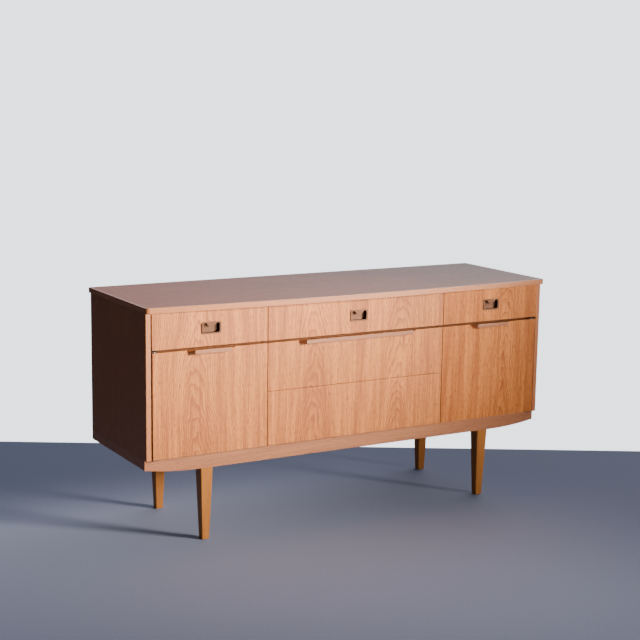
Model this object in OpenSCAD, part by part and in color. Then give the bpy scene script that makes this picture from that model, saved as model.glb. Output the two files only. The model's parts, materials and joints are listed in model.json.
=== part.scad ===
/* [Overall] */
// Width of the top
top_w = 1500; // [1440:10:1560]
// Height of the top surface above the floor
height = 760; // [750:5:790]
// Depth from the back to the middle of the bowed front
depth = 495; // [485:5:515]
// How far the middle of the front edge stands forward of its ends
bow = 27; // [15:1:35]
// Thickness of the top
top_t = 17; // [16:1:20]

/* [Carcass] */
// Overhang of the top past each side
side_overhang = 6; // [3:1:10]
// Thickness of the carcass boards
board_t = 16; // [15:1:18]
// Distance between the middles of the two partitions
centre_bay = 666; // [600:6:720]
// Setback of the door and drawer faces from the ends of the top's front edge
face_setback = 11; // [6:1:16]
// Thickness of the solid edge strips
lipping_t = 8; // [4:1:10]

/* [Base] */
// Height of the legs
leg_h = 237.5; // [220:2.5:250]
// Width of a leg at its top
leg_top = 42; // [38:1:46]
// Width of a leg at its foot
leg_foot = 25; // [20:1:30]
// Height of the base rails in the middle
rail_h = 49.5; // [44:0.5:56]
// How far the underside of the rails rises towards their ends
rail_rise = 16; // [8:1:20]
// Setback of the front rail behind the door faces
rail_setback = 20; // [14:1:26]

/* [Fronts] */
// Thickness of the doors and drawer fronts
front_t = 18; // [17:1:20]
// Height of the three top drawer fronts
top_front_h = 113.5; // [110:0.5:118]
// Height of the middle drawer front
middle_front_h = 155; // [150:0.5:158]
// Gap between the top drawers and the fronts below them
grip_gap = 8; // [6:1:10]
// Gap between fronts that stand side by side
front_gap = 2; // [1.5:0.5:3]
// Gap between the middle and the bottom drawer
low_gap = 1.5; // [1.5:0.5:3]

/* [Drawers] */
// Length of a drawer box from front to back
box_l = 400; // [360:10:410]
// Thickness of the drawer sides
box_t = 12; // [12:1:14]

/* [Handles] */
// Length of the front edge of a door grip
door_grip_l = 123; // [100:1:150]
// Length of the front edge of the centre grip
centre_grip_l = 405; // [360:5:450]
// How far the grips stand proud of the fronts
grip_proud = 18; // [15:1:20]
// Width and height of a recessed pull
pull_size = [66, 37];

/* [Hidden] */

teak = "peru";
trim_wood = "saddlebrown";
leg_wood = "chocolate";
plain_wood = "burlywood";
steel = "silver";
$fn = 48;

// Levels
z_base = leg_h + rail_h;
z_under_top = height - top_t;
z_top_fronts = z_under_top - 1.5 - top_front_h;
z_door_top = z_top_fronts - grip_gap;
z_door_foot = z_base + 2;
z_low_top = z_door_top - middle_front_h - low_gap;
z_divider = z_door_top - 14;
z_rail_end = leg_h + rail_rise;

// Depths, from the front at -Y to the back
y_apex = -depth / 2;
y_ends = y_apex + bow;
y_back = depth / 2;
y_face = y_ends + face_setback;
y_inner = y_face + front_t;
y_side = y_face + 3;
y_partition = y_inner + 1;
y_carcass = y_inner + 5.5;
y_back_panel = y_back - 7.5;
back_panel_t = 4;
y_base = y_face + rail_setback;
base_t = 18;

// Widths, from the middle outwards
x_out = top_w / 2 - side_overhang;
x_in = x_out - board_t;
x_part = centre_bay / 2;
x_part_in = x_part - board_t / 2;
x_part_out = x_part + board_t / 2;
x_front_in = x_part + front_gap / 2;
x_door_out = x_in - 4;
x_drawer_out = x_in - 1.5;

// Legs: the middles of their tops
leg_x = 531;
leg_y = [y_apex + 85, y_back - 50];
leg_plate_l = 50;
leg_plate_t = 3;
leg_plate_shift = [17, 0];
leg_bolt_r = 4;
leg_bolt_l = 45;

// Door pivots
pivot_x = x_door_out - 10;
pivot_y = y_face + front_t / 2;
pin_r = 3;
pin_play = 0.05;
pin_l = 20;
plate_t = 2;

// Drawer boxes: foot level and height of each side
box_gap = 2;
top_box = [z_divider + board_t + 8, 85];
middle_box = [z_low_top + low_gap + 9, 115];
low_box = [z_door_foot + 20, 135];
groove_h = 15;
groove_d = 7;
runner_h = 14;
runner_t = 8;
box_back_t = 10;
box_bottom_t = 5;

// Grips: the section is drawn from the face and the top edge of the front
grip_in = 10;
grip_h = 6.5;
grip_edge_top = 2;
grip_edge_foot = 11;
grip_edge_t = 3.5;
grip_end_run = 20;
scoop_r = 16;
scoop_at = [-5.5, 14];

// Pulls
pull_flange_t = 2.5;
pull_tray = [60, 34, 12];
pull_mouth = [54, 30];
pull_wall = 1.2;
pull_corner = 6;
tongue_r = 20;
tongue_drop = 11;

module block(lo, hi) {
    translate(lo) cube(hi - lo);
}

// Extrudes an outline drawn as X and Z between two depths
module between(y0, y1) {
    translate([0, y1, 0]) rotate([90, 0, 0]) linear_extrude(y1 - y0) children();
}

// Repeats on the left and right
module both_sides() {
    for (s = [0, 1]) mirror([s, 0, 0]) children();
}

module round_rect(size, r) {
    square([size[0] - 2 * r, size[1]], center = true);
    square([size[0], size[1] - 2 * r], center = true);
    for (x = [-1, 1], y = [-1, 1])
        translate([x * (size[0] / 2 - r), y * (size[1] / 2 - r)]) circle(r);
}

// Plan of the top, drawn in by an amount on its front and ends
module bowed_plan(inset) {
    half = top_w / 2;
    bow_r = (half * half + bow * bow) / (2 * bow);
    intersection() {
        translate([-half + inset, y_apex + inset])
            square([top_w - 2 * inset, depth - inset]);
        translate([0, y_apex + bow_r]) circle(bow_r - inset, $fn = 720);
    }
}

module top_panel() {
    color(teak) translate([0, 0, z_under_top]) linear_extrude(top_t) bowed_plan(lipping_t);
}

module top_lipping() {
    corner_r = 12;
    color(trim_wood) translate([0, 0, z_under_top]) linear_extrude(top_t) difference() {
        bowed_plan(0);
        bowed_plan(lipping_t);
        both_sides() difference() {
            translate([top_w / 2 - corner_r, y_ends - 2]) square([corner_r + 1, corner_r + 2]);
            translate([top_w / 2 - corner_r, y_ends + corner_r]) circle(corner_r);
        }
    }
}

module side() {
    color(teak) block([x_in, y_side + lipping_t, z_base], [x_out, y_back, z_under_top]);
}

module side_lippings() {
    color(trim_wood) both_sides()
        block([x_in, y_side, z_base], [x_out, y_side + lipping_t, z_under_top]);
}

module bottom_panel() {
    color(teak) block([-x_in, y_carcass, z_base], [x_in, y_back_panel, z_base + board_t]);
}

module partition() {
    color(teak) block([x_part_in, y_partition, z_base + board_t],
                      [x_part_out, y_back_panel, z_under_top - board_t]);
}

module back_panel() {
    color(plain_wood) block([-x_in, y_back_panel, z_base],
                            [x_in, y_back_panel + back_panel_t, z_under_top]);
}

// Round-headed screw along +Y with its head's seat at the origin
module back_screw() {
    color(steel) rotate([-90, 0, 0]) {
        cylinder(r = 3.2, h = 1.8);
        translate([0, 0, -14]) cylinder(r = 1.6, h = 14.5);
    }
}

module back_screws() {
    y = y_back_panel + back_panel_t;
    for (s = [-1, 1]) {
        for (z = [380, 500, 620]) translate([s * x_part, y, z]) back_screw();
        for (x = [180, 540]) {
            translate([s * x, y, z_base + board_t / 2]) back_screw();
            translate([s * x, y, z_under_top - board_t / 2]) back_screw();
        }
    }
}

module top_rails() {
    rail_d = 60;
    color(plain_wood) for (y = [y_carcass, y_back_panel - rail_d])
        block([-x_in, y, z_under_top - board_t], [x_in, y + rail_d, z_under_top]);
}

// Board under the top drawers of one bay
module divider(x0, x1) {
    color(teak) block([x0, y_carcass, z_divider], [x1, y_back_panel, z_divider + board_t]);
}

// Calls its child at each runner's outer face, turned to point into its bay
module at_runners() {
    for (s = [0, 1]) mirror([s, 0, 0]) {
        for (b = [top_box, middle_box, low_box])
            translate([x_part_in, 0, b[0] + b[1] / 2]) mirror([1, 0, 0]) children();
        for (x = [x_part_out, x_in])
            translate([x, 0, top_box[0] + top_box[1] / 2])
                mirror([x == x_in ? 1 : 0, 0, 0]) children();
    }
}

module drawer_runners() {
    color(plain_wood) at_runners()
        block([0, y_inner + 21.5, -runner_h / 2], [runner_t, y_inner + box_l - 8, runner_h / 2]);
}

module runner_screws() {
    color(steel) at_runners() for (y = [y_inner + 60, y_inner + box_l - 50])
        translate([0, y, 0]) rotate([0, 90, 0]) {
            translate([0, 0, -6]) cylinder(r = 1.75, h = 6 + runner_t - 2);
            translate([0, 0, runner_t - 2]) cylinder(r1 = 1.75, r2 = 3.5, h = 2);
        }
}

shelf_z = 450;
shelf_t = 14;
module shelf() {
    color(teak) block([x_part_out + 1, y_inner + 50, shelf_z],
                      [x_in - 1, y_back_panel - 4, shelf_z + shelf_t]);
}

module shelf_pins() {
    pin = 2.5;
    color(steel) both_sides() for (y = [y_inner + 90, y_back_panel - 50]) {
        translate([x_part_out - 7, y, shelf_z - pin]) rotate([0, 90, 0]) cylinder(r = pin, h = 17);
        translate([x_in - 10, y, shelf_z - pin]) rotate([0, 90, 0]) cylinder(r = pin, h = 17);
    }
}

// Front and back base rails: straight below, with ends that curve up
module base_rail_outline() {
    reach = 184;
    straight = x_out - reach;
    rise_r = (reach * reach + rail_rise * rail_rise) / (2 * rail_rise);
    steps = 14;
    end_curve = [for (i = [0 : steps]) let (a = i / steps * asin(reach / rise_r))
                 [straight + rise_r * sin(a), leg_h + rise_r * (1 - cos(a))]];
    both_sides() polygon(concat([[0, z_base], [0, leg_h]], end_curve, [[x_out, z_base]]));
}

module base_front_rail() {
    color(teak) difference() {
        between(y_base, y_base + base_t) base_rail_outline();
        both_sides() block([pivot_x - 10.2, y_base - 1, z_base - plate_t],
                           [pivot_x + 10.2, y_base + base_t + 1, z_base + 1]);
    }
}

module base_back_rail() {
    color(teak) between(y_back - base_t, y_back) base_rail_outline();
}

module base_side_rails() {
    color(teak) both_sides() block([x_out - base_t, y_base + base_t, z_rail_end],
                                   [x_out, y_back - base_t, z_base]);
}

module leg_bearers() {
    color(plain_wood) both_sides() block([leg_x - 30, y_base + base_t, leg_h + leg_plate_t],
                                         [leg_x + 30, y_back - base_t, z_base]);
}

module leg_taper() {
    polygon([[-leg_foot / 2, 0], [leg_foot / 2, 0], [leg_top / 2, leg_h], [-leg_top / 2, leg_h]]);
}

// Square leg that tapers on all four faces, bored for its bolt
module leg(y) {
    color(leg_wood) translate([leg_x, y, 0]) difference() {
        intersection() {
            between(-leg_top, leg_top) leg_taper();
            rotate([0, 0, 90]) between(-leg_top, leg_top) leg_taper();
        }
        translate([0, 0, leg_h - leg_bolt_l - 1]) cylinder(r = leg_bolt_r + pin_play, h = leg_bolt_l + 2);
    }
}

module leg_plates() {
    half = leg_plate_l / 2;
    color(steel) both_sides() for (i = [0, 1]) translate([leg_x, leg_y[i], leg_h]) difference() {
        block([-half, leg_plate_shift[i] - half, 0], [half, leg_plate_shift[i] + half, leg_plate_t]);
        translate([0, 0, -1]) cylinder(r = leg_bolt_r + pin_play, h = leg_plate_t + 2);
        for (x = [-19, 19], y = [-19, 19])
            translate([x, leg_plate_shift[i] + y, -1]) cylinder(r = 2.3, h = leg_plate_t + 2);
    }
}

module leg_bolts() {
    color(steel) both_sides() for (y = leg_y)
        translate([leg_x, y, leg_h - leg_bolt_l]) cylinder(r = leg_bolt_r, h = leg_bolt_l + leg_plate_t);
}

module leg_plate_screws() {
    color(steel) both_sides() for (i = [0, 1], x = [-19, 19], y = [-19, 19])
        translate([leg_x + x, leg_y[i] + leg_plate_shift[i] + y, leg_h + 0.2])
            cylinder(r = 2.1, h = 22);
}

// Cranked plates that carry the door pins: one under the bottom panel, one on the divider
module pivot_plates() {
    color(steel) both_sides() for (z = [z_base - plate_t, z_divider + board_t])
        block([pivot_x - 10, pivot_y - 6, z], [pivot_x + 10, y_base + base_t - 0.3, z + plate_t]);
}

module pivot_pins() {
    color(steel) both_sides() {
        translate([pivot_x, pivot_y, z_base]) cylinder(r = pin_r, h = pin_l);
        translate([pivot_x, pivot_y, z_divider + board_t - pin_l]) cylinder(r = pin_r, h = pin_l);
    }
}

module pivot_washers() {
    color("ivory") both_sides() translate([pivot_x, pivot_y, z_base]) difference() {
        cylinder(r = 6, h = 1.7);
        translate([0, 0, -1]) cylinder(r = pin_r + pin_play, h = 4);
    }
}

// Magnetic catches under the dividers beside the partitions
module door_catches() {
    color("dimgray") both_sides() block([x_part_out + 4, y_inner + 2, z_divider - 14],
                                        [x_part_out + 44, y_inner + 22, z_divider]);
}

module door_strike() {
    color(steel) block([x_part_out + 9, y_inner, z_divider - 12],
                       [x_part_out + 39, y_inner + 1.5, z_divider - 2]);
}

// Room in the top edge of a front for a grip of length l along its edge
module grip_seat(x, l, z_top) {
    half = l / 2 + grip_end_run;
    block([x - half, y_face - 1, z_top - grip_h], [x + half, y_face + grip_in, z_top + 1]);
}

// Grip let into the top edge of a front, with slanted ends and a scooped top
module grip(x, l, z_top) {
    half = l / 2;
    seat = half + grip_end_run;
    color(trim_wood) translate([x, y_face, z_top]) intersection() {
        translate([-seat, 0, 0]) rotate([90, 0, 90]) linear_extrude(2 * seat) difference() {
            polygon([[-grip_proud, grip_edge_top], [-grip_proud, -grip_edge_foot],
                     [grip_edge_t - grip_proud, -grip_edge_foot], [grip_edge_t - grip_proud + 4, -grip_h - 1],
                     [0, -grip_h], [grip_in, -grip_h], [grip_in, 0], [0, 0], [0, grip_edge_top]]);
            translate(scoop_at) circle(scoop_r);
        }
        translate([0, 0, -grip_edge_foot - 1]) linear_extrude(grip_edge_foot + grip_edge_top + 2)
            polygon([[-half, -grip_proud], [half, -grip_proud], [seat, 0], [seat, grip_in],
                     [-seat, grip_in], [-seat, 0]]);
    }
}

door_mid = (x_front_in + x_door_out) / 2;
module door() {
    color(teak) difference() {
        block([x_front_in, y_face, z_door_foot], [x_door_out, y_inner, z_door_top]);
        grip_seat(door_mid, door_grip_l, z_door_top);
        translate([pivot_x, pivot_y, z_door_foot - 1])
            cylinder(r = pin_r + pin_play, h = pin_l + 0.5);
        translate([pivot_x, pivot_y, z_door_top - pin_l + 0.5])
            cylinder(r = pin_r + pin_play, h = pin_l + 1);
    }
}

// Drawer parts take the bay between x0 and x1, and a box of [foot level, side height]
module drawer_box(x0, x1, box) {
    outer = x1 - x0 - 2 * box_gap;
    color(plain_wood) translate([(x0 + x1) / 2, y_inner, box[0]]) {
        both_sides() difference() {
            block([outer / 2 - box_t, 0, 0], [outer / 2, box_l, box[1]]);
            block([outer / 2 - groove_d, 13.5, (box[1] - groove_h) / 2],
                  [outer / 2 + 1, box_l + 1, (box[1] + groove_h) / 2]);
        }
        block([-outer / 2 + box_t, box_l - box_back_t, 6 + box_bottom_t],
              [outer / 2 - box_t, box_l, box[1] - 10]);
    }
}

module drawer_bottom(x0, x1, box) {
    inner = x1 - x0 - 2 * (box_gap + box_t);
    color(plain_wood) translate([(x0 + x1) / 2, y_inner, box[0]])
        block([-inner / 2, 0, 6], [inner / 2, box_l, 6 + box_bottom_t]);
}

pull_z = z_top_fronts + top_front_h / 2;

// Top drawer front between two edges, bored out for a pull at x
module top_front(x0, x1, x) {
    color(teak) difference() {
        block([x0, y_face, z_top_fronts], [x1, y_inner, z_top_fronts + top_front_h]);
        translate([x, 0, pull_z]) between(y_face - 1, y_face + pull_tray[2] + 0.2)
            round_rect([pull_tray[0] + 0.4, pull_tray[1] + 0.4], pull_corner);
    }
}

// Recessed metal pull: a tray with a flange, and a tongue that the fingers hook behind
module pull(x) {
    color(steel) translate([x, y_face, pull_z]) {
        difference() {
            union() {
                between(-pull_flange_t, 0) round_rect(pull_size, pull_corner);
                between(-0.1, pull_tray[2]) round_rect([pull_tray[0], pull_tray[1]], pull_corner);
            }
            between(-pull_flange_t - 1, pull_tray[2] - pull_wall) round_rect(pull_mouth, 5);
        }
        between(-pull_flange_t, 0.5) intersection() {
            translate([0, pull_mouth[1] / 2 - tongue_drop + tongue_r]) circle(tongue_r);
            square([pull_mouth[0], pull_mouth[1] + 1], center = true);
        }
    }
}

module drawer_middle_front() {
    color(teak) difference() {
        block([-x_front_in + front_gap, y_face, z_low_top + low_gap],
              [x_front_in - front_gap, y_inner, z_door_top]);
        grip_seat(0, centre_grip_l, z_door_top);
    }
}

// Bottom drawer front, pulled by a groove under its lower edge
module drawer_low_front() {
    color(teak) difference() {
        block([-x_front_in + front_gap, y_face, z_door_foot],
              [x_front_in - front_gap, y_inner, z_low_top]);
        block([-150, y_inner - 12, z_door_foot - 1], [150, y_inner - 4, z_door_foot + 12]);
    }
}

top_panel();
top_lipping();
mirror([1, 0, 0]) side();  // side_left
side();  // side_right
side_lippings();
bottom_panel();
mirror([1, 0, 0]) partition();  // partition_left
partition();  // partition_right
back_panel();
back_screws();
top_rails();
divider(-x_in, -x_part_out);  // divider_left
divider(-x_part_in, x_part_in);  // divider_centre
divider(x_part_out, x_in);  // divider_right
drawer_runners();
runner_screws();
mirror([1, 0, 0]) shelf();  // shelf_left
shelf();  // shelf_right
shelf_pins();
base_front_rail();
base_back_rail();
base_side_rails();
leg_bearers();
mirror([1, 0, 0]) leg(leg_y[0]);  // leg_front_left
leg(leg_y[0]);  // leg_front_right
mirror([1, 0, 0]) leg(leg_y[1]);  // leg_back_left
leg(leg_y[1]);  // leg_back_right
leg_plates();
leg_bolts();
leg_plate_screws();
pivot_plates();
pivot_pins();
pivot_washers();
door_catches();
mirror([1, 0, 0]) door();  // door_left
door();  // door_right
grip(-door_mid, door_grip_l, z_door_top);  // door_left_grip
grip(door_mid, door_grip_l, z_door_top);  // door_right_grip
mirror([1, 0, 0]) door_strike();  // door_left_strike
door_strike();  // door_right_strike
top_front(-x_drawer_out, -x_front_in, -door_mid);  // drawer_left_front
drawer_box(-x_in, -x_part_out, top_box);  // drawer_left_box
drawer_bottom(-x_in, -x_part_out, top_box);  // drawer_left_bottom
pull(-door_mid);  // drawer_left_pull
top_front(front_gap - x_front_in, x_front_in - front_gap, 0);  // drawer_centre_front
drawer_box(-x_part_in, x_part_in, top_box);  // drawer_centre_box
drawer_bottom(-x_part_in, x_part_in, top_box);  // drawer_centre_bottom
pull(0);  // drawer_centre_pull
top_front(x_front_in, x_drawer_out, door_mid);  // drawer_right_front
drawer_box(x_part_out, x_in, top_box);  // drawer_right_box
drawer_bottom(x_part_out, x_in, top_box);  // drawer_right_bottom
pull(door_mid);  // drawer_right_pull
drawer_middle_front();
drawer_box(-x_part_in, x_part_in, middle_box);  // drawer_middle_box
drawer_bottom(-x_part_in, x_part_in, middle_box);  // drawer_middle_bottom
grip(0, centre_grip_l, z_door_top);  // drawer_middle_grip
drawer_low_front();
drawer_box(-x_part_in, x_part_in, low_box);  // drawer_low_box
drawer_bottom(-x_part_in, x_part_in, low_box);  // drawer_low_bottom
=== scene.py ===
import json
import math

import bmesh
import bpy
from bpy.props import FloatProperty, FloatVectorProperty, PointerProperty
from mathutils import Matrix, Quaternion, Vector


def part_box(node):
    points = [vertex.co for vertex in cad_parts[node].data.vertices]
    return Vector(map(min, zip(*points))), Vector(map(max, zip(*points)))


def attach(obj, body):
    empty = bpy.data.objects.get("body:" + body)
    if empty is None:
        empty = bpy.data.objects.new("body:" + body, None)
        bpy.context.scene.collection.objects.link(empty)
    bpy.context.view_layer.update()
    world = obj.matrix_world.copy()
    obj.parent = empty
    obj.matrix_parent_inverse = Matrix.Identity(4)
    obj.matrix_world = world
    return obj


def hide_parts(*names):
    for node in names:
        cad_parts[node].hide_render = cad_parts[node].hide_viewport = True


bl_info = {
    "name": "Bow-fronted sideboard",
    "version": (1, 0, 0),
    "blender": (4, 5, 0),
    "location": "View3D > Sidebar > Sideboard",
    "description": "Dresses a teak sideboard: veneers, solid edges, grips, pulls, legs and light",
    "category": "Object",
}

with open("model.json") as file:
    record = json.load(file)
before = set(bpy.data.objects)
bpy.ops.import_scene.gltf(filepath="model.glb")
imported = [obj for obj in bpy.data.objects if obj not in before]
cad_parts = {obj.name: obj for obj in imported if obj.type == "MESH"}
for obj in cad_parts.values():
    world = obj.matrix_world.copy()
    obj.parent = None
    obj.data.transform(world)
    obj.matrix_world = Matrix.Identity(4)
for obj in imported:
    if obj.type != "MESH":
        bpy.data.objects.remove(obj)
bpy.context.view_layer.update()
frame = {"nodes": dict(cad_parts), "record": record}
BODY_OF = {node: body for body, nodes in frame["record"]["behaviour"]["bodies"].items() for node in nodes}
MM = 0.001


# ---------------------------------------------------------------- settings


def colour(name, description, value):
    return FloatVectorProperty(name=name, description=description, subtype="COLOR", size=3,
                               min=0.0, max=1.0, default=value)


def length(name, description, value):
    return FloatProperty(name=name, description=description, subtype="DISTANCE", unit="LENGTH",
                         min=0.0, default=value)


class SideboardShape(bpy.types.PropertyGroup):
    """How far the edges of the pieces are eased."""

    board_ease: length("Board edges", "Easing on the edges of the case boards", 0.6 * MM)
    front_ease: length("Front edges", "Easing round the doors and drawer fronts", 0.9 * MM)
    top_round: length("Top edge", "Rounding of the solid edge of the top", 5.0 * MM)
    leg_round: length("Leg corners", "Rounding of the corners of the legs", 3.0 * MM)
    rail_ease: length("Base edges", "Easing on the edges of the base rails", 1.6 * MM)
    grip_ease: length("Grip edges", "Rounding of the solid grips", 1.3 * MM)
    pull_ease: length("Pull edges", "Rounding of the metal pulls", 0.45 * MM)
    sheet_ease: length("Thin sheets", "Easing of the back, drawer bottoms and leg plates", 0.3 * MM)
    strike_ease: length("Strike edges", "Easing of the strike plates", 0.25 * MM)
    strap_ease: length("Strap edges", "Easing of the pivot straps", 0.4 * MM)
    catch_ease: length("Catch edges", "Rounding of the catch cases", 1.0 * MM)


class SideboardFinish(bpy.types.PropertyGroup):
    """Colours of the woods and metals, with some colours darkened as painted shade."""

    veneer_light: colour("Veneer, light", "Early wood of the teak veneer", (0.62, 0.215, 0.050))
    veneer_dark: colour("Veneer, dark", "Late wood of the teak veneer", (0.31, 0.088, 0.022))
    top_light: colour("Top, light", "Early wood of the top", (0.36, 0.13, 0.06))
    top_dark: colour("Top, dark", "Late wood of the top", (0.19, 0.06, 0.026))
    trim_light: colour("Trim, light", "Early wood of the solid edges", (0.50, 0.175, 0.055))
    trim_dark: colour("Trim, dark", "Late wood of the solid edges", (0.22, 0.06, 0.02))
    leg_light: colour("Legs, light", "Early wood of the legs", (0.38, 0.142, 0.024))
    leg_dark: colour("Legs, dark", "Late wood of the legs", (0.21, 0.066, 0.011))
    inner_light: colour("Inner wood, light", "Plain wood of boxes and runners", (0.62, 0.44, 0.26))
    inner_dark: colour("Inner wood, dark", "Darker streaks of the plain wood", (0.44, 0.28, 0.15))
    # Case: teak darkened well below the fronts, painted shade for the sides and partitions that stand out of
    # the light
    case_shaded_light: colour("Case, light", "Early wood of the sides and partitions", (0.37, 0.115, 0.028))
    case_shaded_dark: colour("Case, dark", "Late wood of the sides and partitions", (0.20, 0.052, 0.012))
    rail_light: colour("Base rails, light", "Early wood of the base rails", (0.40, 0.15, 0.06))
    rail_dark: colour("Base rails, dark", "Late wood of the base rails", (0.17, 0.052, 0.021))
    grip_light: colour("Grips, light", "Early wood of the grips", (0.34, 0.11, 0.034))
    grip_dark: colour("Grips, dark", "Late wood of the grips", (0.15, 0.042, 0.013))
    # Board edges: far darker than the veneer, painted shade in the gaps between the fronts and on the
    # partition and shelf fronts seen through them
    gap_shade_light: colour("Board edges, light", "Early wood on the edges of the boards", (0.13, 0.042, 0.014))
    gap_shade_dark: colour("Board edges, dark", "Late wood on the edges of the boards", (0.06, 0.018, 0.007))
    back_light: colour("Back, light", "Pale fibres of the back board", (0.26, 0.155, 0.085))
    back_dark: colour("Back, dark", "Dark fibres of the back board", (0.13, 0.07, 0.035))
    pull_light: colour("Pulls, light", "Polished places of the metal pulls", (0.125, 0.062, 0.038))
    pull_dark: colour("Pulls, dark", "Dull places of the metal pulls", (0.065, 0.031, 0.019))
    floor_light: colour("Floor, light", "Pale specks of the floor", (0.25, 0.28, 0.40))
    floor_dark: colour("Floor, dark", "Ground colour of the floor", (0.20, 0.225, 0.325))
    surround: colour("Surround", "What is seen round the floor, before its strength", (0.904, 0.942, 1.0))


class SideboardLight(bpy.types.PropertyGroup):
    """Strength of the lights."""

    window: FloatProperty(name="Window", description="Power of the tall soft light", default=48.0)
    low_window: FloatProperty(name="Low window", description="Power of the light by the floor", default=18.0)
    room: FloatProperty(name="Room", description="Strength of the light from all round", default=1.0)
    surround: FloatProperty(name="Surround", description="Brightness round the floor", default=2.6)


# ---------------------------------------------------------------- materials


class Graph:
    """A material's node tree, built a node at a time."""

    def __init__(self, name):
        self.material = bpy.data.materials.new(name)
        self.material.use_nodes = True
        self.tree = self.material.node_tree
        self.tree.nodes.clear()
        self.shader = self.add("ShaderNodeBsdfPrincipled")
        output = self.add("ShaderNodeOutputMaterial")
        self.tree.links.new(self.shader.outputs[0], output.inputs[0])
        place = self.add("ShaderNodeSeparateXYZ", self.add("ShaderNodeTexCoord").outputs["Object"])
        self.axes = dict(zip("XYZ", place.outputs))

    def add(self, kind, *inputs, **settings):
        node = self.tree.nodes.new(kind)
        for key, value in settings.items():
            setattr(node, key, value)
        for socket, value in zip(node.inputs, inputs):
            self.feed(socket, value)
        return node

    def feed(self, socket, value):
        if isinstance(value, bpy.types.NodeSocket):
            self.tree.links.new(value, socket)
        elif value is not None:
            socket.default_value = value

    def math(self, operation, *inputs):
        return self.add("ShaderNodeMath", *inputs, operation=operation).outputs[0]

    def noise(self, stretch, detail=2.0, roughness=0.5):
        """Noise in which each axis has its own number of features to the metre."""
        places = [self.math("MULTIPLY", axis, size) for axis, size in stretch]
        place = self.add("ShaderNodeCombineXYZ", *places)
        node = self.add("ShaderNodeTexNoise")
        self.feed(node.inputs["Vector"], place.outputs[0])
        self.feed(node.inputs["Scale"], 1.0)
        self.feed(node.inputs["Detail"], detail)
        self.feed(node.inputs["Roughness"], roughness)
        return node.outputs[0]

    def ramp(self, factor, stops):
        """Colours or greys placed along a 0 to 1 value."""
        node = self.add("ShaderNodeValToRGB", factor)
        elements = node.color_ramp.elements
        while len(elements) < len(stops):
            elements.new(0.5)
        for element, (place, value) in zip(elements, stops):
            element.position = place
            shade = (value,) * 3 if isinstance(value, float) else value
            element.color = (*shade, 1.0)
        return node.outputs[0]

    def around(self, value, middle, spread):
        """Turns a 0 to 1 value into middle plus or minus half of spread."""
        return self.math("MULTIPLY_ADD", value, spread, middle - spread / 2)

    def bump(self, height, distance):
        node = self.add("ShaderNodeBump")
        self.feed(node.inputs["Strength"], 1.0)
        self.feed(node.inputs["Distance"], distance)
        self.feed(node.inputs["Height"], height)
        self.feed(self.shader.inputs["Normal"], node.outputs[0])

    def finish(self, base, roughness, metallic=0.0, coat=0.0, gloss=0.4):
        self.feed(self.shader.inputs["Base Color"], base)
        self.feed(self.shader.inputs["Roughness"], roughness)
        self.feed(self.shader.inputs["Metallic"], metallic)
        self.feed(self.shader.inputs["Coat Weight"], coat)
        self.feed(self.shader.inputs["Coat Roughness"], 0.25)
        self.feed(self.shader.inputs["Specular IOR Level"], gloss)
        return self.material


def wood(name, light, dark, along="Z", across="X", hearts=(0.0,), split=0.0, start=0.07, taper=0.2,
         ring=0.0046, rough=0.42, coat=0.0, gloss=0.4, contrast=1.0):
    """Wood whose growth rings are cut by a plane that runs at a slant to the log.

    The rings are circles round the heart of the log. A flat cut meets them in tall arches over the
    heart and in straight lines beside it. Two hearts make two leaves that meet at split.
    """
    graph = Graph(name)
    leaf_shift = 21 * MM
    depth = ({"X", "Y", "Z"} - {along, across}).pop()
    u, v, w = graph.axes[across], graph.axes[depth], graph.axes[along]

    # Place in the log, which bends slowly and then in smaller waves
    slow = graph.noise([(u, 4.0), (v, 4.0), (w, 2.4)], 2.0)
    drift = graph.noise([(u, 14.0), (v, 14.0), (w, 5.0)], 3.0, 0.6)
    heart = hearts[0]
    shift = 0.0
    if len(hearts) == 2:
        second = graph.math("GREATER_THAN", u, split)
        heart = graph.math("MULTIPLY_ADD", second, hearts[1] - hearts[0], hearts[0])
        shift = graph.math("MULTIPLY", second, leaf_shift)
    side = graph.math("ADD", graph.math("SUBTRACT", u, heart), graph.around(slow, 0.0, 0.09))
    down = graph.math("ADD", graph.math("MULTIPLY_ADD", w, taper, start), graph.around(drift, 0.0, 0.022))
    down = graph.math("ADD", down, graph.math("ADD", v, shift))

    # Rings counted from the heart: pale early wood that darkens to a sharp late edge
    radius = graph.math("SQRT", graph.math("MULTIPLY_ADD", side, side, graph.math("MULTIPLY", down, down)))
    wobble = graph.around(graph.noise([(u, 45.0), (v, 45.0), (w, 14.0)], 3.0, 0.6), 0.0, 0.9)
    turn = graph.math("ADD", graph.math("DIVIDE", radius, ring), wobble)
    late = graph.ramp(graph.math("FRACT", turn), [(0.0, 0.1), (0.55, 0.35), (0.86, 1.0), (1.0, 0.1)])

    # Good and bad years, fine fibres, broad streaks and open pores
    years = graph.noise([(turn, 0.23), (u, 3.0), (w, 0.8)], 2.0)
    fibre = graph.noise([(u, 700.0), (v, 700.0), (w, 18.0)], 3.0, 0.65)
    streak = graph.noise([(u, 95.0), (v, 95.0), (w, 3.0)], 2.0, 0.6)
    pore = graph.ramp(graph.noise([(u, 520.0), (v, 520.0), (w, 52.0)], 2.0), [(0.55, 0.0), (0.68, 1.0)])
    tone = graph.math("MULTIPLY_ADD", late, 0.26 * contrast, 0.22)
    for value, amount in ((years, 0.55), (fibre, 0.34), (streak, 0.50)):
        tone = graph.math("ADD", tone, graph.around(value, 0.0, amount * contrast))
    tone = graph.math("ADD", tone, graph.math("MULTIPLY", pore, 0.34 * contrast))
    middle = [0.55 * pale + 0.45 * deep for pale, deep in zip(light, dark)]
    base = graph.ramp(tone, [(0.05, light), (0.50, middle), (1.0, dark)])
    relief = graph.math("ADD", graph.math("MULTIPLY", pore, -1.0), graph.math("MULTIPLY", fibre, 0.4))
    graph.bump(relief, 0.12 * MM)
    return graph.finish(base, graph.around(fibre, rough, 0.16), coat=coat, gloss=gloss)


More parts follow.
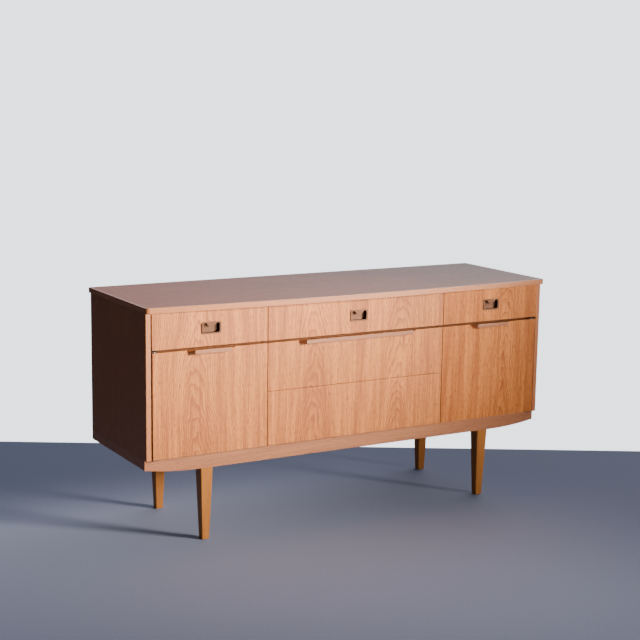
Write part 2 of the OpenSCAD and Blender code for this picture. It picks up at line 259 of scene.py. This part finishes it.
def pressed_board(name, light, dark):
    """Hardboard: short matted fibres in all directions."""
    graph = Graph(name)
    x, y, z = (graph.axes[axis] for axis in "XYZ")
    mat = graph.noise([(x, 420.0), (y, 420.0), (z, 420.0)], 4.0, 0.7)
    cloud = graph.noise([(x, 9.0), (y, 9.0), (z, 9.0)], 3.0)
    tone = graph.math("ADD", graph.around(mat, 0.5, 0.9), graph.around(cloud, 0.0, 0.5))
    graph.bump(mat, 0.15 * MM)
    return graph.finish(graph.ramp(tone, [(0.15, light), (0.85, dark)]), graph.around(mat, 0.75, 0.2))


def brushed_metal(name, light, dark, rough, along="X"):
    """Metal with fine lines along one axis and a slightly uneven, handled surface."""
    graph = Graph(name)
    lines = graph.noise([(graph.axes[axis], 60.0 if axis == along else 2600.0) for axis in "XYZ"], 2.0)
    smear = graph.noise([(graph.axes[axis], 55.0) for axis in "XYZ"], 3.0, 0.6)
    tone = graph.math("ADD", graph.around(lines, 0.5, 0.5), graph.around(smear, 0.0, 0.8))
    graph.bump(lines, 0.03 * MM)
    return graph.finish(graph.ramp(tone, [(0.2, light), (0.9, dark)]), graph.around(smear, rough, 0.22), 1.0)


def moulded(name, light, dark, rough):
    """Moulded plastic or baked paint with a faint mottle."""
    graph = Graph(name)
    grain = graph.noise([(graph.axes[axis], 900.0) for axis in "XYZ"], 2.0)
    graph.bump(grain, 0.05 * MM)
    return graph.finish(graph.ramp(grain, [(0.3, light), (0.7, dark)]), graph.around(grain, rough, 0.12))


def veneers(tones):
    """Flat-cut veneer on the fronts, the case, the top and the base rails. The case veneer is darkened as
    painted shade.
    """
    front = dict(light=tones.veneer_light, dark=tones.veneer_dark, taper=0.09, contrast=3.3)
    wood("left_veneer", hearts=(-0.575,), start=0.228, gloss=0.28, **front)
    wood("centre_veneer", hearts=(-0.17, 0.155), start=0.222, gloss=0.26, **front)
    wood("right_veneer", hearts=(0.59,), start=0.216, gloss=0.14, **front)
    # Sides and partitions: teak grain in a darker tone that is painted shade
    wood("shaded_case_veneer", tones.case_shaded_light, tones.case_shaded_dark, along="Z", across="Y", hearts=(0.02,),
         start=0.02, taper=0.12)
    wood("top_veneer", tones.top_light, tones.top_dark, along="X", across="Y", hearts=(-0.02,),
         start=0.16, taper=0.05, rough=0.5, gloss=0.2)
    wood("rail_veneer", tones.rail_light, tones.rail_dark, along="X", across="Z", hearts=(0.20,),
         start=0.05, taper=0.03)


def solid_woods(tones):
    """Straight-grained solid wood of the edges, grips, legs, drawer boxes and hidden rails, and the dark gap
    wood that is painted shade.
    """
    trim = dict(light=tones.trim_light, dark=tones.trim_dark, hearts=(0.3,), taper=0.01, rough=0.4, coat=0.05)
    wood("trim_upright", along="Z", across="X", **trim)
    wood("trim_level", along="X", across="Y", **trim)
    wood("grip_wood", tones.grip_light, tones.grip_dark, along="X", across="Y", hearts=(0.3,),
         taper=0.01, rough=0.32, coat=0.3, gloss=0.5)
    # Painted shade: near-black wood for the ends and undersides of the fronts and the front edges of
    # partitions and shelves, where the gaps fall in shade
    wood("gap_shade_wood", tones.gap_shade_light, tones.gap_shade_dark, along="Z", across="X", hearts=(0.3,),
         taper=0.01, rough=0.5, gloss=0.2)
    wood("leg_teak", tones.leg_light, tones.leg_dark, across="X", hearts=(0.9,), start=0.3, taper=0.01,
         rough=0.45, gloss=0.25)
    inner = dict(light=tones.inner_light, dark=tones.inner_dark)
    wood("box_wood", along="Y", across="Z", hearts=(0.4,), taper=0.02, rough=0.55, contrast=0.5, **inner)
    wood("rail_wood", along="X", across="Y", hearts=(0.4,), taper=0.02, rough=0.6, contrast=0.6, **inner)
    wood("ply", along="X", across="Y", hearts=(0.1,), taper=0.15, rough=0.6, contrast=0.45, **inner)


def hardware(tones):
    """The back board, metals and plastics."""
    pressed_board("back_fibre", tones.back_light, tones.back_dark)
    brushed_metal("pull_alloy", tones.pull_light, tones.pull_dark, 0.42)
    brushed_metal("plain_steel", (0.62, 0.62, 0.61), (0.38, 0.37, 0.36), 0.38)
    # Dark steel of the pivot straps; on the pulls the same colour is painted shade on the side walls and in
    # the recess
    moulded("dark_steel_and_recess_shade", (0.045, 0.032, 0.026), (0.03, 0.022, 0.018), 0.5)
    moulded("washer_plastic", (0.16, 0.11, 0.075), (0.12, 0.08, 0.055), 0.5)
    moulded("catch_case", (0.035, 0.033, 0.03), (0.05, 0.047, 0.043), 0.55)


def finishes():
    """Every material of the object by name, made once."""
    if "left_veneer" not in bpy.data.materials:
        tones = bpy.context.scene.sideboard_finish
        veneers(tones)
        solid_woods(tones)
        hardware(tones)
    return bpy.data.materials


# ---------------------------------------------------------------- meshes


def sharp(edge, least=math.radians(25)):
    """An edge between two faces that turn by more than the least angle."""
    return len(edge.link_faces) == 2 and edge.calc_face_angle() > least


def clean_copy(node):
    """A bmesh of a CAD node with its triangles merged back into whole faces."""
    shape = bmesh.new()
    shape.from_mesh(frame["nodes"][node].data)
    bmesh.ops.remove_doubles(shape, verts=shape.verts, dist=0.005 * MM)
    bmesh.ops.dissolve_limit(shape, angle_limit=math.radians(0.4), verts=shape.verts, edges=shape.edges)
    return shape


def ease(shape, width, segments=3, pick=sharp):
    """Rounds the picked edges."""
    edges = [edge for edge in shape.edges if pick(edge)]
    bmesh.ops.bevel(shape, geom=edges, offset=width, offset_type="OFFSET", affect="EDGES",
                    segments=segments, profile=0.5, material=-1, clamp_overlap=True)


def settle(shape, name, materials, node, faces_to_second=None):
    """Makes an object of a bmesh that stands for a CAD node and rides on that node's body."""
    mesh = bpy.data.meshes.new(name)
    for material in materials:
        mesh.materials.append(finishes()[material])
    for face in shape.faces:
        face.smooth = True
        if faces_to_second:
            face.material_index = int(faces_to_second(face))
    shape.to_mesh(mesh)
    shape.free()
    mesh.set_sharp_from_angle(angle=math.radians(35))
    piece = bpy.data.objects.new(name, mesh)
    bpy.context.scene.collection.objects.link(piece)
    weighted = piece.modifiers.new("Even shading", "WEIGHTED_NORMAL")
    weighted.keep_sharp = True
    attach(piece, BODY_OF[node])
    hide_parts(node)
    return piece


def faces_front(face):
    return face.normal.y < -0.7


def not_front(face):
    return abs(face.normal.y) < 0.7


# The ends and undersides that take the painted gap shade
def end_or_underside(face):
    return not_front(face) and face.normal.z < 0.5


def eased(node, name, material, width, segments=3, shade_material=None, edge=end_or_underside, pick=sharp):
    """The CAD node's shape with rounded edges. The faces that edge picks, by default its ends and underside,
    may take a second, darker material that is painted shade.
    """
    shape = clean_copy(node)
    ease(shape, width, segments, pick)
    materials = [material] + ([shade_material] if shade_material else [])
    return settle(shape, name, materials, node, edge if shade_material else None)


def paint(node, material):
    """A carried-over CAD node keeps its shape and takes a finish."""
    slots = frame["nodes"][node].data.materials
    slots.clear()
    slots.append(finishes()[material])


# ---------------------------------------------------------------- operators


class SIDEBOARD_OT_top(bpy.types.Operator):
    """Make the veneered top and its rounded solid edge"""

    bl_idname = "sideboard.top"
    bl_label = "Top"
    bl_options = {"REGISTER", "UNDO"}

    def execute(self, context):
        shape = context.scene.sideboard_shape
        settle(clean_copy("top_panel"), "top_board", ["top_veneer"], "top_panel")
        eased("top_lipping", "top_edge", "trim_level", shape.top_round, 5, pick=self.outer)
        return {"FINISHED"}

    @staticmethod
    def outer(edge):
        """The level edges of the faces that look away from the middle of the top."""
        start, end = (vert.co for vert in edge.verts)
        middle = (start + end) / 2
        level = abs(start.z - end.z) < 0.1 * MM
        away = any(abs(face.normal.z) < 0.5 and face.normal.xy.dot(middle.xy) > 0 for face in edge.link_faces)
        return level and away and sharp(edge)


class SIDEBOARD_OT_case(bpy.types.Operator):
    """Make the sides, the partitions and the boards between them"""

    bl_idname = "sideboard.case"
    bl_label = "Case"
    bl_options = {"REGISTER", "UNDO"}

    def execute(self, context):
        shape = context.scene.sideboard_shape
        # Partition, bottom, divider and shelf fronts take the painted gap shade
        for side in ("left", "right"):
            eased("side_" + side, "side_%s_board" % side, "shaded_case_veneer", shape.board_ease)
            eased("partition_" + side, "partition_%s_board" % side, "shaded_case_veneer", shape.board_ease,
                  shade_material="gap_shade_wood", edge=faces_front)
        eased("side_lippings", "side_edges", "trim_upright", shape.board_ease)
        dividers = ("divider_left", "divider_centre", "divider_right")
        for node in ("bottom_panel", *dividers, "shelf_left", "shelf_right"):
            eased(node, node + "_board", "top_veneer", shape.board_ease, 2, "gap_shade_wood", faces_front)
        eased("top_rails", "top_rail_boards", "rail_wood", shape.board_ease, 2)
        paint("shelf_pins", "plain_steel")
        return {"FINISHED"}


class SIDEBOARD_OT_back(bpy.types.Operator):
    """Make the back and the slotted round heads of its screws"""

    bl_idname = "sideboard.back"
    bl_label = "Back"
    bl_options = {"REGISTER", "UNDO"}

    def execute(self, context):
        shape = context.scene.sideboard_shape
        eased("back_panel", "back_board", "back_fibre", shape.sheet_ease, 1)
        heads = bmesh.new()
        for seat in self.screw_seats():
            self.add_head(heads, seat)
        settle(heads, "back_screw_heads", ["plain_steel"], "back_screws")
        return {"FINISHED"}

    def screw_seats(self):
        """Middle of each screw on the back's outer face, found from the CAD heads."""
        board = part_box("back_panel")[1][1]
        verts = frame["nodes"]["back_screws"].data.vertices
        tip = max(vert.co.y for vert in verts)
        heads = []
        for place in [vert.co.copy() for vert in verts if tip - vert.co.y < 0.05 * MM]:
            head = next((near for near in heads if (near[0] - place).length < 12 * MM), None)
            if head is None:
                head = []
                heads.append(head)
            head.append(place)
        middles = [sum(head, Vector()) / len(head) for head in heads]
        return [Vector((middle.x, board, middle.z)) for middle in middles]

    def add_head(self, heads, seat):
        """A low dome with a slot across it, standing on the back."""
        radius, rise, half_slot = 3.1 * MM, 1.7 * MM, 0.4 * MM
        slot_from, slot_depth = 0.6 * radius, 0.35 * radius
        made = bmesh.ops.create_uvsphere(heads, u_segments=24, v_segments=12, radius=radius)["verts"]
        lower = [vert for vert in made if vert.co.z < -0.1 * MM]
        bmesh.ops.delete(heads, geom=lower, context="VERTS")
        dome = [vert for vert in made if vert.is_valid]
        rim = [edge for edge in heads.edges if edge.is_boundary]
        bmesh.ops.holes_fill(heads, edges=rim, sides=0)
        for vert in dome:
            if abs(vert.co.x) < half_slot and vert.co.z > slot_from:
                vert.co.z -= slot_depth
        bmesh.ops.scale(heads, vec=(1.0, 1.0, rise / radius), verts=dome)
        bmesh.ops.rotate(heads, verts=dome, matrix=Quaternion((1, 0, 0), -math.pi / 2).to_matrix())
        bmesh.ops.translate(heads, vec=seat, verts=dome)


class SIDEBOARD_OT_base(bpy.types.Operator):
    """Make the base rails with their curved ends, and the battens that carry the legs"""

    bl_idname = "sideboard.base"
    bl_label = "Base"
    bl_options = {"REGISTER", "UNDO"}

    def execute(self, context):
        shape = context.scene.sideboard_shape
        for node in ("base_front_rail", "base_back_rail"):
            eased(node, node + "_board", "rail_veneer", shape.rail_ease, 3)
        eased("base_side_rails", "base_side_boards", "rail_veneer", shape.rail_ease, 3)
        eased("leg_bearers", "leg_battens", "box_wood", shape.board_ease, 2)
        return {"FINISHED"}


class SIDEBOARD_OT_legs(bpy.types.Operator):
    """Make the tapered legs and their fixings"""

    bl_idname = "sideboard.legs"
    bl_label = "Legs"
    bl_options = {"REGISTER", "UNDO"}

    def execute(self, context):
        shape = context.scene.sideboard_shape
        for end in ("front_left", "front_right", "back_left", "back_right"):
            eased("leg_" + end, "tapered_leg_" + end, "leg_teak", shape.leg_round, 4, pick=self.corner)
        eased("leg_plates", "leg_mount_plates", "plain_steel", shape.sheet_ease, 1)
        paint("leg_bolts", "plain_steel")
        paint("leg_plate_screws", "plain_steel")
        return {"FINISHED"}

    @staticmethod
    def corner(edge):
        """The four long corners of a leg and the edges of its foot, but not its bore or top."""
        drop = abs(edge.verts[0].co.z - edge.verts[1].co.z)
        foot = max(vert.co.z for vert in edge.verts) < MM
        return sharp(edge) and (drop > 0.1 or foot) and edge.calc_length() > 10 * MM


class SIDEBOARD_OT_doors(bpy.types.Operator):
    """Make the doors, their grips, pivots and catches"""

    bl_idname = "sideboard.doors"
    bl_label = "Doors"
    bl_options = {"REGISTER", "UNDO"}

    def execute(self, context):
        shape = context.scene.sideboard_shape
        for side in ("left", "right"):
            door = "door_" + side
            # Door ends and undersides take the painted gap shade
            eased(door, door + "_panel", side + "_veneer", shape.front_ease, 3, "gap_shade_wood")
            eased(door + "_grip", door + "_lip", "grip_wood", shape.grip_ease, 4)
            eased(door + "_strike", door + "_plate", "plain_steel", shape.strike_ease, 1)
        eased("pivot_plates", "pivot_straps", "dark_steel_and_recess_shade", shape.strap_ease, 2)
        paint("pivot_pins", "plain_steel")
        paint("pivot_washers", "washer_plastic")
        eased("door_catches", "catch_cases", "catch_case", shape.catch_ease, 2)
        return {"FINISHED"}


class SIDEBOARD_OT_drawers(bpy.types.Operator):
    """Make the drawer fronts, boxes, bottoms and runners"""

    bl_idname = "sideboard.drawers"
    bl_label = "Drawers"
    bl_options = {"REGISTER", "UNDO"}

    def execute(self, context):
        shape = context.scene.sideboard_shape
        veneers = {"left": "left_veneer", "right": "right_veneer"}
        for place in ("left", "centre", "right", "middle", "low"):
            drawer = "drawer_" + place
            veneer = veneers.get(place, "centre_veneer")
            # Front ends and undersides take the painted gap shade
            eased(drawer + "_front", drawer + "_panel", veneer, shape.front_ease, 3, "gap_shade_wood")
            eased(drawer + "_box", drawer + "_sides", "box_wood", shape.board_ease, 2)
            eased(drawer + "_bottom", drawer + "_floor", "ply", shape.sheet_ease, 1)
        eased("drawer_middle_grip", "drawer_middle_lip", "grip_wood", shape.grip_ease, 4)
        eased("drawer_runners", "runner_strips", "box_wood", shape.board_ease, 1)
        paint("runner_screws", "plain_steel")
        return {"FINISHED"}


class SIDEBOARD_OT_pulls(bpy.types.Operator):
    """Make the recessed metal pulls of the top drawers"""

    bl_idname = "sideboard.pulls"
    bl_label = "Pulls"
    bl_options = {"REGISTER", "UNDO"}

    def execute(self, context):
        shape = context.scene.sideboard_shape
        for place in ("left", "centre", "right"):
            drawer = "drawer_" + place
            # Side walls and recess walls of each pull take the dark colour as painted shade
            eased(drawer + "_pull", drawer + "_recessed_pull", "pull_alloy", shape.pull_ease, 2,
                  "dark_steel_and_recess_shade", not_front)
        return {"FINISHED"}


class SIDEBOARD_OT_stage(bpy.types.Operator):
    """Set the floor, the lights and the camera"""

    bl_idname = "sideboard.stage"
    bl_label = "Stage"
    bl_options = {"REGISTER", "UNDO"}

    eye = (-2.3818, -4.0634, 1.4549)
    heading, tilt, roll = (math.radians(turn) for turn in (30.12, -9.868, 0.878))
    lens = 79.76
    floor_half = 6.0
    floor_behind = 0.737  # from the middle of the sideboard back to the end of the floor
    bright_side = Vector((0.86, 0.49, 0.10)).normalized()

    def execute(self, context):
        power = context.scene.sideboard_light
        tones = context.scene.sideboard_finish
        self.floor(tones)
        self.room(context.scene, tones.surround, power)
        self.area("window", place=(2.3, -3.2, 1.5), target=(-0.75, -0.2, 0.95), size=(0.9, 0.9),
                  power=power.window, tint=(1.0, 0.92, 0.82), spread=39)
        self.area("low_window", place=(0.85, -3.4, 0.35), target=(-0.2, 0.0, 0.45), size=(1.7, 0.7),
                  power=power.low_window, tint=(1.0, 0.90, 0.76), spread=120)
        self.camera(context.scene)
        return {"FINISHED"}

    def floor(self, tones):
        """A square floor turned to the camera's heading, so that it ends level across the view."""
        shape = bmesh.new()
        bmesh.ops.create_grid(shape, x_segments=8, y_segments=8, size=self.floor_half)
        bmesh.ops.translate(shape, vec=(0.0, self.floor_behind - self.floor_half, 0.0), verts=shape.verts)
        bmesh.ops.rotate(shape, verts=shape.verts, matrix=Quaternion((0, 0, 1), -self.heading).to_matrix())
        mesh = bpy.data.meshes.new("floor")
        shape.to_mesh(mesh)
        shape.free()
        graph = Graph("pale_floor")
        speck = graph.noise([(graph.axes[axis], 240.0) for axis in "XYZ"], 3.0)
        graph.finish(graph.ramp(speck, [(0.3, tones.floor_dark), (0.7, tones.floor_light)]), 0.9)
        mesh.materials.append(graph.material)
        floor = bpy.data.objects.new("floor", mesh)
        bpy.context.scene.collection.objects.link(floor)

    def room(self, scene, surround, power):
        """Soft light from all round, bright behind and to the right, with a plain pale surround."""
        world = bpy.data.worlds.new("room")
        world.use_nodes = True
        nodes, links = world.node_tree.nodes, world.node_tree.links
        nodes.clear()
        place = nodes.new("ShaderNodeTexCoord")
        towards = nodes.new("ShaderNodeVectorMath")
        towards.operation = "DOT_PRODUCT"
        towards.inputs[1].default_value = self.bright_side
        ramp = nodes.new("ShaderNodeValToRGB")
        stops = ramp.color_ramp.elements
        shades = ((0.42, (0.085, 0.086, 0.095)), (0.60, (0.28, 0.32, 0.42)), (0.75, (0.75, 0.88, 1.25)),
                  (0.88, (2.4, 2.5, 2.7)), (1.0, (3.1, 3.0, 2.8)))
        while len(stops) < len(shades):
            stops.new(0.5)
        for stop, (place_on, shade) in zip(stops, shades):
            stop.position, stop.color = place_on, (*shade, 1.0)
        light = nodes.new("ShaderNodeBackground")
        light.inputs["Strength"].default_value = power.room
        backdrop = nodes.new("ShaderNodeBackground")
        backdrop.inputs["Color"].default_value = (*surround, 1.0)
        backdrop.inputs["Strength"].default_value = power.surround
        seen = nodes.new("ShaderNodeLightPath")
        either = nodes.new("ShaderNodeMixShader")
        output = nodes.new("ShaderNodeOutputWorld")
        links.new(place.outputs["Generated"], towards.inputs[0])
        links.new(towards.outputs["Value"], ramp.inputs[0])
        links.new(ramp.outputs[0], light.inputs[0])
        links.new(seen.outputs["Is Camera Ray"], either.inputs[0])
        links.new(light.outputs[0], either.inputs[1])
        links.new(backdrop.outputs[0], either.inputs[2])
        links.new(either.outputs[0], output.inputs[0])
        scene.world = world

    def area(self, name, place, target, size, power, tint, spread):
        """A soft rectangular light aimed at a point. Spread is in degrees."""
        lamp = bpy.data.lights.new(name, "AREA")
        lamp.shape = "RECTANGLE"
        lamp.size, lamp.size_y = size
        lamp.energy = power
        lamp.spread = math.radians(spread)
        lamp.color = tint
        holder = bpy.data.objects.new(name, lamp)
        holder.location = place
        aim = (Vector(target) - Vector(place)).to_track_quat("-Z", "Y")
        holder.rotation_mode = "QUATERNION"
        holder.rotation_quaternion = aim
        holder.visible_camera = False
        bpy.context.scene.collection.objects.link(holder)

    def camera(self, scene):
        """A long lens from the left of the front, a little above the top."""
        camera = bpy.data.cameras.new("camera")
        camera.lens = self.lens
        camera.sensor_width = 36.0
        holder = bpy.data.objects.new("camera", camera)
        holder.location = self.eye
        level = math.cos(self.tilt)
        ahead = Vector((math.sin(self.heading) * level, math.cos(self.heading) * level, math.sin(self.tilt)))
        holder.rotation_mode = "QUATERNION"
        holder.rotation_quaternion = ahead.to_track_quat("-Z", "Y") @ Quaternion((0, 0, 1), self.roll)
        scene.collection.objects.link(holder)
        scene.camera = holder


STEPS = ("top", "case", "back", "base", "legs", "doors", "drawers", "pulls", "stage")


class SIDEBOARD_PT_panel(bpy.types.Panel):
    """Buttons for each group of pieces, with the sizes and finishes they use"""

    bl_label = "Sideboard"
    bl_idname = "SIDEBOARD_PT_panel"
    bl_space_type = "VIEW_3D"
    bl_region_type = "UI"
    bl_category = "Sideboard"

    def draw(self, context):
        layout = self.layout
        for step in STEPS:
            layout.operator("sideboard." + step)
        for group in ("sideboard_shape", "sideboard_finish", "sideboard_light"):
            values = getattr(context.scene, group)
            box = layout.box()
            for name in values.bl_rna.properties.keys():
                if name not in ("rna_type", "name"):
                    box.prop(values, name)


CLASSES = (
    SideboardShape, SideboardFinish, SideboardLight,
    SIDEBOARD_OT_top, SIDEBOARD_OT_case, SIDEBOARD_OT_back, SIDEBOARD_OT_base, SIDEBOARD_OT_legs,
    SIDEBOARD_OT_doors, SIDEBOARD_OT_drawers, SIDEBOARD_OT_pulls, SIDEBOARD_OT_stage, SIDEBOARD_PT_panel,
)


def register():
    for cls in CLASSES:
        bpy.utils.register_class(cls)
    bpy.types.Scene.sideboard_shape = PointerProperty(type=SideboardShape)
    bpy.types.Scene.sideboard_finish = PointerProperty(type=SideboardFinish)
    bpy.types.Scene.sideboard_light = PointerProperty(type=SideboardLight)


def unregister():
    del bpy.types.Scene.sideboard_light
    del bpy.types.Scene.sideboard_finish
    del bpy.types.Scene.sideboard_shape
    for cls in reversed(CLASSES):
        bpy.utils.unregister_class(cls)


def main():
    register()
    for step in STEPS:
        getattr(bpy.ops.sideboard, step)()


if __name__ == "__main__":
    main()
